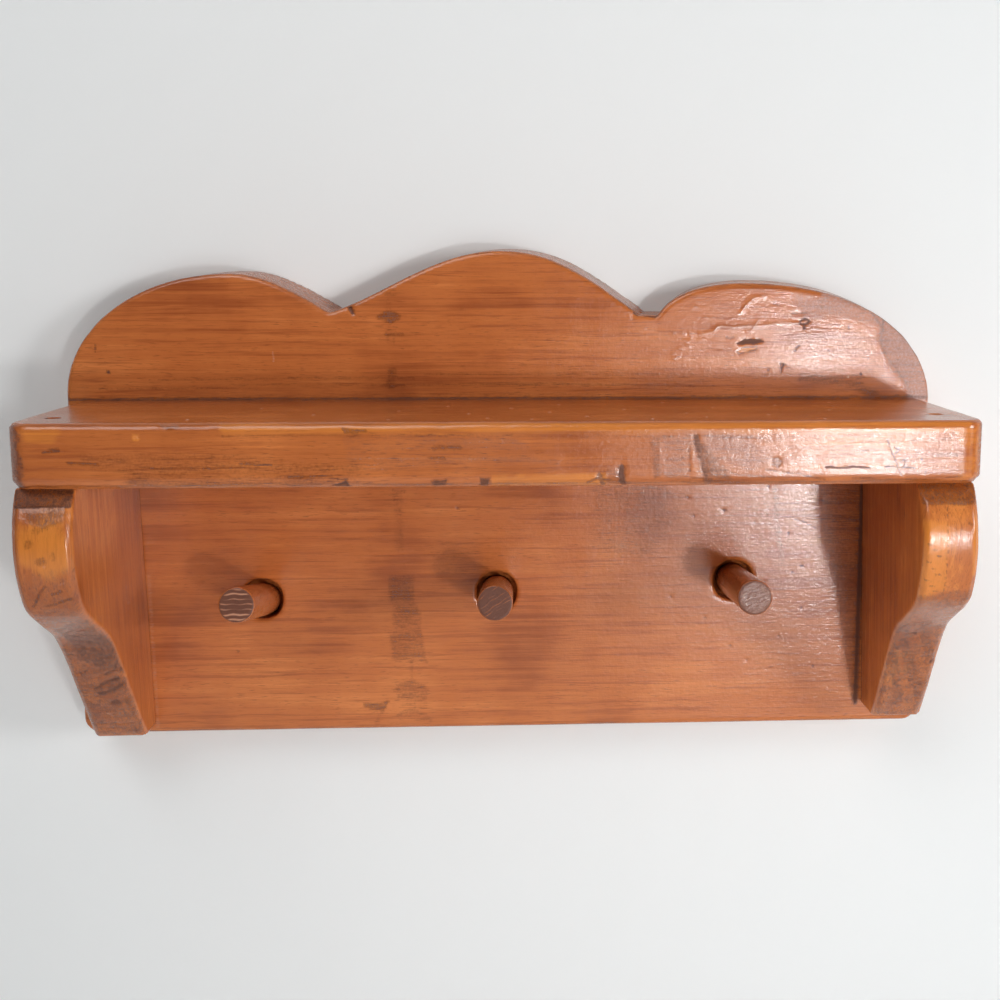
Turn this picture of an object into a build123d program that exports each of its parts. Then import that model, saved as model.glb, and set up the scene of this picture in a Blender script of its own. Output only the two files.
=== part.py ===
from build123d import *
import os
from math import cos, radians, sin, tan

# A small wooden wall shelf over a row of three pegs.
#
# Millimetres. X runs to the right along the wall, Y runs back into the wall and Z runs up. The origin is on
# the wall, in the middle of the back board's length, at the level of the shelf's top face.

# ---- back board ---------------------------------------------------------------------------------------------
board_length = 320.0
board_thickness = 19.0
board_drop = 126.5
board_corner_radius = 6.0
board_edge_round = 1.0

# The scalloped top: each crest and valley has its height above the shelf and its distance from an end.
left_shoulder_height = 3.0
left_crest_from_end = 60.0
left_crest_height = 46.0
left_valley_from_end = 95.5
left_valley_height = 32.0
middle_crest_height = 54.5
middle_crest_offset = -2.0
right_valley_from_end = 112.0
right_valley_height = 32.5
right_kerf_width = 8.0
right_kerf_depth = 1.5
right_crest_from_end = 72.0
right_crest_height = 43.0
right_shoulder_height = 1.0

# A curve runs from a shoulder or valley to its crest. It leaves along its pull, and it runs level for about
# its crest run before the crest.
left_shoulder_pull = (2.0, 27.0)
left_crest_run_in = 30.0
left_crest_run_out = 12.0
left_valley_pull_back = (-11.5, 7.0)
left_valley_pull = (19.5, 6.0)
middle_crest_run_in = 24.0
middle_crest_run_out = 20.0
right_valley_pull_back = (-18.0, 12.5)
right_valley_pull = (4.0, 8.0)
right_crest_run_in = 14.0
right_crest_run_out = 37.0
right_shoulder_pull = (-3.0, 29.0)

# The saw leaned to the right while it cut the scallops, so they lie further right and higher at the back.
saw_shift = 4.0
saw_rise = 1.2

# ---- shelf board: each end stands in from the back board's end ----------------------------------------------
shelf_left_inset = 5.0
shelf_right_inset = 4.0
shelf_depth = 77.5
shelf_thickness = 21.0
shelf_corner_radius = 7.0
shelf_top_round = 1.8
shelf_bottom_round = 3.2

# ---- side brackets ------------------------------------------------------------------------------------------
bracket_thickness = 19.0
left_bracket_height = 102.0
left_bracket_inset = 0.5
left_foot_depth = 14.0
right_bracket_height = 98.0
right_bracket_inset = 2.0
right_foot_depth = 17.0
bracket_lean = 1.35
bracket_front_inset = 1.0
bracket_top_chamfer = 5.0
nose_height = 34.0
nose_setback = 2.5
nose_pull = (6.0, -13.0)
nose_pull_back = (5.0, 8.0)
throat_height = 14.5
throat_setback = 22.0
throat_pull = (10.0, 6.0)
foot_pull_back = (16.0, 20.0)
bracket_edge_round = 2.5

# ---- pegs and their sockets: each drop is from the shelf's underside to the middle of the socket's mouth ----
peg_radius = 6.2
peg_reach = 47.5
peg_tip_round = 0.6
peg_root_radius = 6.0
peg_root_reach = 2.0
socket_depth = 14.0
left_peg_from_end = 68.0
left_peg_drop = 54.2
left_peg_tilt = 11.4
middle_peg_offset = -3.9
middle_peg_drop = 52.3
middle_peg_tilt = 8.7
right_peg_from_end = 73.5
right_peg_drop = 48.8
right_peg_tilt = 5.6
mouth_radius = 7.6
mouth_depth = 5.0

# ---- fasteners ----------------------------------------------------------------------------------------------
countersink_angle = 82.0
tip_length = 5.0
drive_length_per_head_radius = 1.2
drive_width_per_head_radius = 0.25
screw_radius = 1.9
screw_head_radius = 3.8
shelf_screw_length = 45.0
shelf_screw_from_end = 55.5
shelf_screw_count = 3
upper_bracket_screw_drop = 21.0
lower_bracket_screw_drop = 72.0
bracket_screw_length = 38.0
nail_radius = 1.2
nail_head_radius = 2.1
nail_head_thickness = 1.0
nail_length = 50.0
nail_set = 0.6
left_nail_setback = 17.5
right_nail_setback = 20.0

# ---- keyhole hangers ----------------------------------------------------------------------------------------
hanger_from_end = 60.0
hanger_height = 20.0
plate_width = 16.0
plate_height = 38.0
plate_thickness = 1.6
plate_corner_radius = 3.0
plate_clearance = 0.2
keyhole_radius = 4.5
keyhole_slot_radius = 2.2
keyhole_travel = 9.0
head_pocket_radius = 5.5
head_pocket_depth = 6.0
hanger_screw_radius = 1.7
hanger_screw_head_radius = 3.2
hanger_screw_length = 15.0
hanger_screw_spacing = 28.0

# ---- places worked out from the sizes above -----------------------------------------------------------------
board_end = board_length / 2
board_front = -board_thickness
shelf_left_end = -board_end + shelf_left_inset
shelf_right_end = board_end - shelf_right_inset
shelf_length = shelf_right_end - shelf_left_end
shelf_underside = -shelf_thickness
shelf_front = board_front - shelf_depth
left_bracket_x = shelf_left_end + left_bracket_inset + bracket_thickness / 2
right_bracket_x = shelf_right_end - right_bracket_inset - bracket_thickness / 2
left_nail = (left_bracket_x, shelf_front + left_nail_setback)
right_nail = (right_bracket_x, shelf_front + right_nail_setback)


def facing_back(x, y, z):
    """A plane that faces the wall, with its own x running left and its own y running up."""
    return Plane(origin=(x, y, z), x_dir=(-1, 0, 0), z_dir=(0, 1, 0))


def facing_along_peg(x, drop, tilt):
    """A plane on the board's front face that looks out along a peg tilted up by this many degrees."""
    direction = (0, -cos(radians(tilt)), sin(radians(tilt)))
    return Plane(origin=(x, board_front, shelf_underside - drop), x_dir=(1, 0, 0), z_dir=direction)


def bracket_centre(top_x, drop):
    """The middle of a leaning bracket's thickness, this far below the shelf's underside."""
    return top_x + drop * tan(radians(bracket_lean))


def bracket_screw_places(top_x, y):
    """The two planes, at this y, from which a bracket's screws run forward."""
    drops = (upper_bracket_screw_drop, lower_bracket_screw_drop)
    return [facing_back(bracket_centre(top_x, drop), y, shelf_underside - drop) for drop in drops]


def shelf_screw_places(y):
    """The planes, at this y, from which the shelf's screws run forward into its rear edge."""
    first = shelf_left_end + shelf_screw_from_end
    spacing = (shelf_length - 2 * shelf_screw_from_end) / (shelf_screw_count - 1)
    height = shelf_underside / 2
    return [facing_back(first + n * spacing, y, height) for n in range(shelf_screw_count)]


def wood_screw(radius, head_radius, length):
    """A countersunk wood screw that points down, with the top of its head at the origin."""
    head_height = (head_radius - radius) / tan(radians(countersink_angle / 2))
    drive_length = drive_length_per_head_radius * head_radius
    drive_width = drive_width_per_head_radius * head_radius
    with BuildPart() as screw:
        with BuildSketch(Plane.XZ):
            with BuildLine():
                Polyline(
                    (0, 0),
                    (head_radius, 0),
                    (radius, -head_height),
                    (radius, tip_length - length),
                    (0, -length),
                    close=True,
                )
            make_face()
        revolve(axis=Axis.Z)
        with BuildSketch(Plane.XY):
            Rectangle(drive_length, drive_width)
            Rectangle(drive_width, drive_length)
        extrude(amount=-head_height, mode=Mode.SUBTRACT)
    return screw.part


def scallop_curve(start, pull, crest, run):
    """Half a scallop: it leaves its start along the pull and comes level to its crest from the run's side."""
    return Bezier(start, start + pull, crest + (run, 0), crest)


pegs = {
    "left_peg": facing_along_peg(-board_end + left_peg_from_end, left_peg_drop, left_peg_tilt),
    "middle_peg": facing_along_peg(middle_peg_offset, middle_peg_drop, middle_peg_tilt),
    "right_peg": facing_along_peg(board_end - right_peg_from_end, right_peg_drop, right_peg_tilt),
}
hangers = {
    "left_hanger_plate": facing_back(-board_end + hanger_from_end, 0, hanger_height),
    "right_hanger_plate": facing_back(board_end - hanger_from_end, 0, hanger_height),
}
hanger_screw_offsets = (-hanger_screw_spacing / 2, hanger_screw_spacing / 2)
hanger_screw_places = [
    facing_back(plane.origin.X, 0, hanger_height + offset)
    for plane in hangers.values()
    for offset in hanger_screw_offsets
]
board_screw_places = (
    shelf_screw_places(0) + bracket_screw_places(left_bracket_x, 0) + bracket_screw_places(right_bracket_x, 0)
)

os.makedirs("parts", exist_ok=True)

# ---- back board: the scallops are ruled between their outline on the front face and on the back face -------
with BuildPart() as back_board:
    for face_y, shift, rise in ((board_front, 0, 0), (0, saw_shift, saw_rise)):
        left_shoulder = Vector(-board_end, left_shoulder_height)
        left_crest = Vector(-board_end + left_crest_from_end + shift, left_crest_height + rise)
        left_valley = Vector(-board_end + left_valley_from_end + shift, left_valley_height + rise)
        middle_crest = Vector(middle_crest_offset + shift, middle_crest_height + rise)
        right_valley = Vector(board_end - right_valley_from_end + shift, right_valley_height + rise)
        right_kerf = right_valley - Vector(0, right_kerf_depth)
        right_start = right_kerf + Vector(right_kerf_width, 0)
        right_crest = Vector(board_end - right_crest_from_end + shift, right_crest_height + rise)
        right_shoulder = Vector(board_end, right_shoulder_height)
        with BuildSketch(Plane.XZ.offset(-face_y)) as outline:
            with BuildLine():
                scallop_curve(left_shoulder, left_shoulder_pull, left_crest, -left_crest_run_in)
                scallop_curve(left_valley, left_valley_pull_back, left_crest, left_crest_run_out)
                scallop_curve(left_valley, left_valley_pull, middle_crest, -middle_crest_run_in)
                scallop_curve(right_valley, right_valley_pull_back, middle_crest, middle_crest_run_out)
                Polyline(right_valley, right_kerf, right_start)
                scallop_curve(right_start, right_valley_pull, right_crest, -right_crest_run_in)
                scallop_curve(right_shoulder, right_shoulder_pull, right_crest, right_crest_run_out)
                Polyline(right_shoulder, (board_end, -board_drop), (-board_end, -board_drop), left_shoulder)
            make_face()
            fillet(outline.vertices().group_by(Axis.Y)[0], radius=board_corner_radius)
    loft(ruled=True)
    fillet(back_board.faces().sort_by(Axis.Y)[0].edges(), radius=board_edge_round)
    fillet(back_board.faces().sort_by(Axis.Y)[-1].edges(), radius=board_edge_round)
    for peg_plane in pegs.values():
        with Locations(peg_plane):
            Hole(radius=peg_root_radius, depth=socket_depth)
        with Locations(Plane(origin=peg_plane.origin, z_dir=(0, -1, 0))):
            Hole(radius=mouth_radius, depth=mouth_depth)
    with Locations(board_screw_places):
        CounterSinkHole(screw_radius, screw_head_radius, board_thickness, countersink_angle)
    for hanger_plane in hangers.values():
        with BuildSketch(hanger_plane):
            recess_width = plate_width + 2 * plate_clearance
            recess_height = plate_height + 2 * plate_clearance
            RectangleRounded(recess_width, recess_height, plate_corner_radius + plate_clearance)
        extrude(amount=-plate_thickness, mode=Mode.SUBTRACT)
        with BuildSketch(hanger_plane):
            SlotCenterToCenter(keyhole_travel, 2 * head_pocket_radius, rotation=90)
        extrude(amount=-plate_thickness - head_pocket_depth, mode=Mode.SUBTRACT)
    with Locations(hanger_screw_places):
        CounterSinkHole(hanger_screw_radius, hanger_screw_head_radius, hanger_screw_length, countersink_angle)
back_board.part.label = "back_board"
export_step(back_board.part, "parts/back_board.step")

# ---- shelf board: butted against the board's front face -----------------------------------------------------
with BuildPart() as shelf_board:
    with BuildSketch() as plan:
        with Locations((shelf_left_end, board_front)):
            Rectangle(shelf_length, shelf_depth, align=(Align.MIN, Align.MAX))
        fillet(plan.vertices().group_by(Axis.Y)[0], radius=shelf_corner_radius)
    extrude(amount=-shelf_thickness)
    top_rim = shelf_board.faces().sort_by(Axis.Z)[-1].edges().sort_by(Axis.Y)[:-1]
    fillet(top_rim, radius=shelf_top_round)
    bottom_rim = shelf_board.faces().sort_by(Axis.Z)[0].edges().sort_by(Axis.Y)[:-1]
    fillet(bottom_rim, radius=shelf_bottom_round)
    with Locations(left_nail, right_nail):
        CounterBoreHole(nail_radius, nail_head_radius, nail_set + nail_head_thickness, shelf_thickness)
    with Locations(shelf_screw_places(board_front)):
        Hole(radius=screw_radius, depth=shelf_screw_length - board_thickness)
shelf_board.part.label = "shelf_board"
export_step(shelf_board.part, "parts/shelf_board.step")


# ---- side brackets ------------------------------------------------------------------------------------------
def side_bracket(top_x, height, foot_depth, nail):
    """An S-profile bracket that leans to the right as it goes down, with both its ends trimmed level."""
    lean = radians(bracket_lean)
    sideways = (-cos(lean), 0, -sin(lean))
    profile_plane = Plane(origin=(top_x, board_front, shelf_underside), x_dir=(0, -1, 0), z_dir=sideways)
    trim = bracket_thickness * tan(lean)
    front = shelf_depth - bracket_front_inset
    chamfer_start = front - bracket_top_chamfer
    nose_start = Vector(front, -bracket_top_chamfer)
    nose_end = nose_start - Vector(nose_setback, nose_height)
    throat_end = nose_end - Vector(throat_setback, throat_height)
    foot_front = Vector(foot_depth, -height - trim)
    with BuildPart() as bracket:
        with BuildSketch(profile_plane.offset(-bracket_thickness / 2)):
            with BuildLine():
                Polyline((0, trim), (chamfer_start, trim), (chamfer_start, 0), nose_start)
                Bezier(nose_start, nose_start + nose_pull, nose_end + nose_pull_back, nose_end)
                Bezier(nose_end, nose_end - Vector(nose_pull_back) / 2, throat_end + throat_pull, throat_end)
                Bezier(throat_end, throat_end - Vector(throat_pull), foot_front + foot_pull_back, foot_front)
                Polyline(foot_front, (0, -height - trim), (0, trim))
            make_face()
        extrude(amount=bracket_thickness)
        split(bisect_by=Plane.XY.offset(shelf_underside), keep=Keep.BOTTOM)
        split(bisect_by=Plane.XY.offset(shelf_underside - height), keep=Keep.TOP)
        fillet(bracket.edges().filter_by(GeomType.BSPLINE), radius=bracket_edge_round)
        with Locations(Location((nail[0], nail[1], shelf_underside))):
            Hole(radius=nail_radius, depth=nail_length + nail_set - shelf_thickness)
        with Locations(bracket_screw_places(top_x, board_front)):
            Hole(radius=screw_radius, depth=bracket_screw_length - board_thickness)
    return bracket.part


left_bracket = side_bracket(left_bracket_x, left_bracket_height, left_foot_depth, left_nail)
left_bracket.label = "left_bracket"
export_step(left_bracket, "parts/left_bracket.step")

right_bracket = side_bracket(right_bracket_x, right_bracket_height, right_foot_depth, right_nail)
right_bracket.label = "right_bracket"
export_step(right_bracket, "parts/right_bracket.step")

# ---- pegs: dowels that stand out from the board, each at its own tilt, with an eased root in the socket ------
for peg_name, peg_plane in pegs.items():
    with BuildPart(peg_plane) as peg:
        with BuildSketch(peg_plane.offset(-socket_depth)):
            Circle(peg_root_radius)
        extrude(amount=socket_depth + peg_root_reach)
        with BuildSketch(peg_plane.offset(peg_root_reach)):
            Circle(peg_radius)
        extrude(amount=peg_reach - peg_root_reach)
        tip_rim = peg.edges().sort_by(Axis(peg_plane.origin, peg_plane.z_dir))[-1]
        fillet(tip_rim, radius=peg_tip_round)
    peg.part.label = peg_name
    export_step(peg.part, f"parts/{peg_name}.step")

# ---- nails: down through the shelf into the brackets --------------------------------------------------------
with BuildPart() as shelf_nails:
    with BuildSketch(Plane.XZ):
        with BuildLine():
            Polyline(
                (0, -nail_set),
                (nail_head_radius, -nail_set),
                (nail_head_radius, -nail_set - nail_head_thickness),
                (nail_radius, -nail_set - nail_head_thickness),
                (nail_radius, tip_length - nail_set - nail_length),
                (0, -nail_set - nail_length),
                close=True,
            )
        make_face()
    nail = revolve(axis=Axis.Z, mode=Mode.PRIVATE)
    with Locations(left_nail, right_nail):
        add(nail)
shelf_nails.part.label = "shelf_nails"
export_step(shelf_nails.part, "parts/shelf_nails.step")

# ---- screws: forward from the wall side ---------------------------------------------------------------------
shelf_screw = wood_screw(screw_radius, screw_head_radius, shelf_screw_length)
bracket_screw = wood_screw(screw_radius, screw_head_radius, bracket_screw_length)
hanger_screw = wood_screw(hanger_screw_radius, hanger_screw_head_radius, hanger_screw_length)
screw_groups = {
    "shelf_screws": (shelf_screw, shelf_screw_places(0)),
    "left_bracket_screws": (bracket_screw, bracket_screw_places(left_bracket_x, 0)),
    "right_bracket_screws": (bracket_screw, bracket_screw_places(right_bracket_x, 0)),
    "hanger_screws": (hanger_screw, hanger_screw_places),
}
for group_name, (screw_shape, places) in screw_groups.items():
    with BuildPart() as screw_group:
        with Locations(places):
            add(screw_shape)
    screw_group.part.label = group_name
    export_step(screw_group.part, f"parts/{group_name}.step")

# ---- keyhole plates: let in flush with the board's back face ------------------------------------------------
for plate_name, hanger_plane in hangers.items():
    with BuildPart(hanger_plane) as plate:
        with BuildSketch(hanger_plane):
            RectangleRounded(plate_width, plate_height, plate_corner_radius)
            with Locations((0, -keyhole_travel / 2)):
                Circle(keyhole_radius, mode=Mode.SUBTRACT)
            SlotCenterToCenter(keyhole_travel, 2 * keyhole_slot_radius, rotation=90, mode=Mode.SUBTRACT)
        extrude(amount=-plate_thickness)
        with Locations(*[(0, offset) for offset in hanger_screw_offsets]):
            CounterSinkHole(hanger_screw_radius, hanger_screw_head_radius, plate_thickness, countersink_angle)
    plate.part.label = plate_name
    export_step(plate.part, f"parts/{plate_name}.step")
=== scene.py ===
"""Looks of the small wooden wall shelf with pegs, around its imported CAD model."""

import math
from functools import partial, reduce
from itertools import product

import bmesh
import bpy
import numpy as np
from mathutils import Matrix, Vector
from mathutils.bvhtree import BVHTree


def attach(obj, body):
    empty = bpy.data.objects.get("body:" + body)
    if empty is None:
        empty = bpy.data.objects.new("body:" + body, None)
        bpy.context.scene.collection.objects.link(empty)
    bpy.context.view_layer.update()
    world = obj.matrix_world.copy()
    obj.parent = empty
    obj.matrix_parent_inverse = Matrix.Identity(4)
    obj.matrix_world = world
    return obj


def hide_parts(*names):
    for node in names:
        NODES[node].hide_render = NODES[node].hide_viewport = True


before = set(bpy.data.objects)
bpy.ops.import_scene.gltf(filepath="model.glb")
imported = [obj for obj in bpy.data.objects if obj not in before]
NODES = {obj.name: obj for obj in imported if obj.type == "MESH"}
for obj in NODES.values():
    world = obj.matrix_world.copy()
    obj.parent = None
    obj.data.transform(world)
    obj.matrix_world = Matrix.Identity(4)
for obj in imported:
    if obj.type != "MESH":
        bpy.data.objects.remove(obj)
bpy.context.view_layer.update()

MM = 0.001
BODY = "root"


# ---------------- node graphs


class Graph:
    """A material's node tree, with short ways to add and join its nodes."""

    def __init__(self, tree):
        self.nodes = tree.nodes
        self.links = tree.links
        self.nodes.clear()

    def put(self, socket, value):
        """Joins a node's output to the socket, or sets the socket's own value."""
        if isinstance(value, bpy.types.NodeSocket):
            self.links.new(value, socket)
        else:
            socket.default_value = value

    def add(self, kind, inputs=None, out=0, **settings):
        """A new node with its settings and inputs, as its output socket."""
        node = self.nodes.new(kind)
        for name, value in settings.items():
            setattr(node, name, value)
        for name, value in (inputs or {}).items():
            self.put(node.inputs[name], value)
        return node.outputs[out] if node.outputs else node

    def math(self, operation, a, b):
        """A math node on two values."""
        return self.add("ShaderNodeMath", {0: a, 1: b}, operation=operation)

    def total(self, *values):
        """The sum of all the values."""
        return reduce(partial(self.math, "ADD"), values)

    def times(self, *values):
        """The product of all the values."""
        return reduce(partial(self.math, "MULTIPLY"), values)

    def vector(self, operation, a, b):
        """A math node on two vectors."""
        return self.add("ShaderNodeVectorMath", {0: a, 1: b}, operation=operation)

    def ramp(self, value, low, high, to_low=0.0, to_high=1.0):
        """The value's range from low to high, smoothly taken to another range."""
        ends = {"Value": value, "From Min": low, "From Max": high, "To Min": to_low, "To Max": to_high}
        return self.add("ShaderNodeMapRange", ends, interpolation_type="SMOOTHSTEP")

    def mix(self, amount, a, b):
        """Colour a with the amount of colour b."""
        node = self.nodes.new("ShaderNodeMix")
        node.data_type = "RGBA"
        self.put(node.inputs[0], amount)
        self.put(node.inputs[6], a)
        self.put(node.inputs[7], b)
        return node.outputs[2]

    def noise(self, place, period, detail, roughness, warp=0.0):
        """Noise from 0 to 1, about as coarse as the period in mm along each axis."""
        kind = {"Scale": 1.0, "Detail": detail, "Roughness": roughness, "Distortion": warp}
        return self.add("ShaderNodeTexNoise", {"Vector": self.vector("DIVIDE", place, period), **kind})

    def painted(self, name):
        """What is painted on the mesh's points under that name, from 0 to 1."""
        return self.add("ShaderNodeAttribute", out="Fac", attribute_name=name)

    def place(self):
        """The point's place in mm."""
        place = self.add("ShaderNodeTexCoord", out="Object")
        return self.vector("MULTIPLY", place, (1 / MM,) * 3)

    def split(self, vector):
        """The three parts of a vector."""
        node = self.nodes.new("ShaderNodeSeparateXYZ")
        self.put(node.inputs[0], vector)
        return node.outputs

    def bump(self, height, strength, deepest):
        """The direction of a surface with this relief, which is up to this deep in m."""
        relief = {"Height": height, "Strength": strength, "Distance": deepest}
        return self.add("ShaderNodeBump", relief, out="Normal")

    def finish(self, shader):
        """Makes the shader the material's surface."""
        self.add("ShaderNodeOutputMaterial", {"Surface": shader})


def new_material(name):
    """An empty node material and the graph of its nodes."""
    material = bpy.data.materials.new(name)
    material.use_nodes = True
    return material, Graph(material.node_tree)


def new_object(name, data):
    """A new object in the scene."""
    made = bpy.data.objects.new(name, data)
    bpy.context.scene.collection.objects.link(made)
    return made


def dress(mesh, material):
    """Makes the material the mesh's only one."""
    mesh.materials.clear()
    mesh.materials.append(material)


# ---------------- camera, stage and light

CAMERA_PLACE = (0.00401, -0.52461, 0.04719)
CAMERA_TURN = {"Y": 0.0062, "X": -0.1482, "Z": -0.0600}
CAMERA_SENSOR = 36.0
CAMERA_LENS = 48.96
CAMERA_SHIFT = (-0.0976, -0.0255)

WALL_Y = 0.0006
WALL_TOP = 1.4
FLOOR_Z = -0.32
SWEEP_RADIUS = 0.08
SWEEP_STEPS = 12
STAGE_HALF_WIDTH = 1.6
STAGE_DEPTH = 1.6
BACKDROP_COLOUR = (0.92, 0.935, 0.935, 1)
AIR_COLOUR = (0.86, 0.875, 0.875, 1)

LAMPS = {
    "lamp": dict(place=(0.36, -1.02, -0.13), size=(0.06, 0.07), radiance=18.0, spread=60.0),
    "window": dict(place=(0.325, -1.02, -0.18), size=(0.37, 0.42), radiance=2.6, spread=180.0),
    "side_window": dict(place=(0.92, -0.80, 0.13), size=(0.25, 0.25), radiance=20.0, spread=180.0),
    "ceiling": dict(place=(-0.35, -0.95, 0.85), size=(0.7, 0.7), radiance=3.4, spread=180.0),
}
LAMP_AIM = (0.10, -0.02, -0.04)
ROOM_COLOUR = (0.96, 0.99, 1.0, 1)
ROOM_HEIGHTS = (-0.1, 0.7)
ROOM_STRENGTHS = (0.06, 0.12)


def make_camera():
    """The camera stands a little above the shelf's top and looks slightly down."""
    turn = Matrix.Identity(3)
    for axis, angle in CAMERA_TURN.items():
        turn = turn @ Matrix.Rotation(angle, 3, axis)
    right, forward, up = turn.col
    pose = Matrix((right, up, -forward)).transposed().to_4x4()
    pose.translation = Vector(CAMERA_PLACE)
    data = bpy.data.cameras.new("camera")
    data.sensor_width = CAMERA_SENSOR
    data.lens = CAMERA_LENS
    data.shift_x, data.shift_y = CAMERA_SHIFT
    camera = new_object("camera", data)
    camera.matrix_world = pose
    bpy.context.scene.camera = camera


def make_stage():
    """A pale wall that sweeps into a floor. It shows from its front only and casts no shadow."""
    profile = [(WALL_Y, WALL_TOP)]
    for i in range(SWEEP_STEPS + 1):
        angle = i / SWEEP_STEPS * math.pi / 2
        y = WALL_Y - SWEEP_RADIUS * (1 - math.cos(angle))
        z = FLOOR_Z + SWEEP_RADIUS * (1 - math.sin(angle))
        profile.append((y, z))
    profile.append((WALL_Y - STAGE_DEPTH, FLOOR_Z))
    corners = [(x, y, z) for y, z in profile for x in (-STAGE_HALF_WIDTH, STAGE_HALF_WIDTH)]
    faces = [(2 * i, 2 * i + 2, 2 * i + 3, 2 * i + 1) for i in range(len(profile) - 1)]
    mesh = bpy.data.meshes.new("backdrop")
    mesh.from_pydata(corners, [], faces)
    mesh.shade_smooth()
    backdrop = new_object("backdrop", mesh)

    material, g = new_material("backdrop")
    finish = {"Base Color": BACKDROP_COLOUR, "Roughness": 0.9, "Specular IOR Level": 0.1}
    paper = g.add("ShaderNodeBsdfPrincipled", finish)
    clear = g.add("ShaderNodeBsdfTransparent")
    behind = g.add("ShaderNodeNewGeometry", out="Backfacing")
    shadow_ray = g.add("ShaderNodeLightPath", out="Is Shadow Ray")
    see_through = g.math("MAXIMUM", behind, shadow_ray)
    g.finish(g.add("ShaderNodeMixShader", {0: see_through, 1: paper, 2: clear}))
    mesh.materials.append(material)


def make_lamps():
    """A small lamp in a soft window low on the right, a second window further round and a ceiling light."""
    for name, lamp in LAMPS.items():
        place = Vector(lamp["place"])
        data = bpy.data.lights.new(name, "AREA")
        data.shape = "RECTANGLE"
        data.size, data.size_y = lamp["size"]
        data.spread = math.radians(lamp["spread"])
        data.energy = lamp["radiance"] * math.pi * data.size * data.size_y
        light = new_object(name, data)
        light.location = place
        light.rotation_euler = (place - Vector(LAMP_AIM)).to_track_quat("Z", "Y").to_euler()


def make_room():
    """Soft light from the room, stronger from above."""
    world = bpy.data.worlds.new("room")
    world.use_nodes = True
    g = Graph(world.node_tree)
    height = g.split(g.add("ShaderNodeTexCoord", out="Generated"))[2]
    strength = g.ramp(height, *ROOM_HEIGHTS, *ROOM_STRENGTHS)
    room = g.add("ShaderNodeBackground", {"Color": ROOM_COLOUR, "Strength": strength})
    seen = g.add("ShaderNodeBackground", {"Color": AIR_COLOUR, "Strength": 1.0})
    rays = g.add("ShaderNodeLightPath", out="Is Camera Ray").node.outputs
    seen_directly = g.math("MAXIMUM", rays["Is Camera Ray"], rays["Is Transmission Ray"])
    shader = g.add("ShaderNodeMixShader", {0: seen_directly, 1: room, 2: seen})
    g.add("ShaderNodeOutputWorld", {"Surface": shader})
    bpy.context.scene.world = world
    bpy.context.scene.view_settings.view_transform = "Standard"


# ---------------- noise and distances

NO_LENGTH = 1e-9


def hashed(cells, seed):
    """A fixed random number from -1 to 1 for each whole-numbered cell."""
    h = cells[:, 0] * 73856093 ^ cells[:, 1] * 19349663 ^ cells[:, 2] * 83492791 ^ seed * 2654435761
    h = ((h ^ (h >> 13)) * 1274126177) & 0xFFFFFFFF
    h ^= h >> 16
    return (h & 0xFFFFFF) / 0x7FFFFF - 1.0


def noise(places, period, seed):
    """Smooth noise from -1 to 1 at each place, as coarse as the period along each axis."""
    scaled = places / np.asarray(period, float)
    cells = np.floor(scaled).astype(np.int64)
    part = scaled - cells
    part = part * part * (3 - 2 * part)
    result = np.zeros(len(places))
    for corner in product((0, 1), repeat=3):
        weight = np.prod(np.where(corner, part, 1 - part), axis=1)
        result += weight * hashed(cells + np.array(corner), seed)
    return result


def smooth_step(value, low, high):
    """0 below low, 1 above high, and a smooth way between."""
    t = np.clip((value - low) / (high - low), 0, 1)
    return t * t * (3 - 2 * t)


def distance_to_line(places, points):
    """How far each place is from a line through the points."""
    best = np.full(len(places), np.inf)
    for a, b in zip(points, points[1:]):
        way = b - a
        share = np.clip((places - a) @ way / max(way @ way, NO_LENGTH), 0, 1)
        off = places - a - share[:, None] * way
        best = np.minimum(best, np.hypot(off[:, 0], off[:, 1]))
    return best


def distance_to_patch(places, corners):
    """How far each place is outside an outline, or inside it where negative."""
    closed = np.vstack((corners, corners[:1]))
    inside = np.zeros(len(places), bool)
    for a, b in zip(closed, closed[1:]):
        crosses = (a[1] > places[:, 1]) != (b[1] > places[:, 1])
        rise = b[1] - a[1] if b[1] != a[1] else NO_LENGTH
        at = a[0] + (places[:, 1] - a[1]) / rise * (b[0] - a[0])
        inside ^= crosses & (places[:, 0] < at)
    away = distance_to_line(places, closed)
    return np.where(inside, -away, away)


# ---------------- marks in the wood

# Paints: 'dark' holds stains and also painted shade and shadows, 'grey' mauve stain and the painted sheen on
# the board's rim, 'pale' dust and nicks and also painted highlights on raised ridges.
PAINTS = ("dark", "grey", "amber", "pale", "rough")
MARK_RELIEF = 0.22
MARK_WANDER = 0.25
MARK_WANDER_PERIOD = 2.5
MARKED_FACING = (0.2, 0.6)
FINE_SOFT = 0.9
FINE_FACING = 0.4
STAIN_OF_GREY = 0.8
SPOT_CORNERS = 8


def line(*points, width=0.8, soft=0.4, depth=0.0, **paint):
    """A scratch, crack, streak, line of painted shade or painted highlight along its points, in mm on the
    face.
    """
    points = np.array(points, float)
    return dict(points=points, patch=False, half=width / 2, soft=soft, depth=depth, paint=paint)


def patch(*points, soft=1.0, depth=0.0, **paint):
    """A stained or sunken place, or a painted shadow, inside its outline, in mm on the face."""
    points = np.array(points, float)
    return dict(points=points, patch=True, half=0.0, soft=soft, depth=depth, paint=paint)


def spot(x, z, across, high=None, soft=0.4, depth=0.0, **paint):
    """A round or oval spot."""
    high = high or across
    turns = np.linspace(0, 2 * math.pi, SPOT_CORNERS + 1)[:-1]
    ring = [(x + across / 2 * math.cos(t), z + high / 2 * math.sin(t)) for t in turns]
    return patch(*ring, soft=soft, depth=depth, **paint)


def smudged(marks, soften, fade):
    """The marks as brown stains that have sunk into the wood, with softer edges."""
    stains = []
    for mark in marks:
        paint = mark["paint"]
        dark = fade * paint.get("dark", 0) + STAIN_OF_GREY * paint.get("grey", 0)
        stains.append({**mark, "soft": mark["soft"] + soften, "paint": {"dark": dark}})
    return stains


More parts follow.
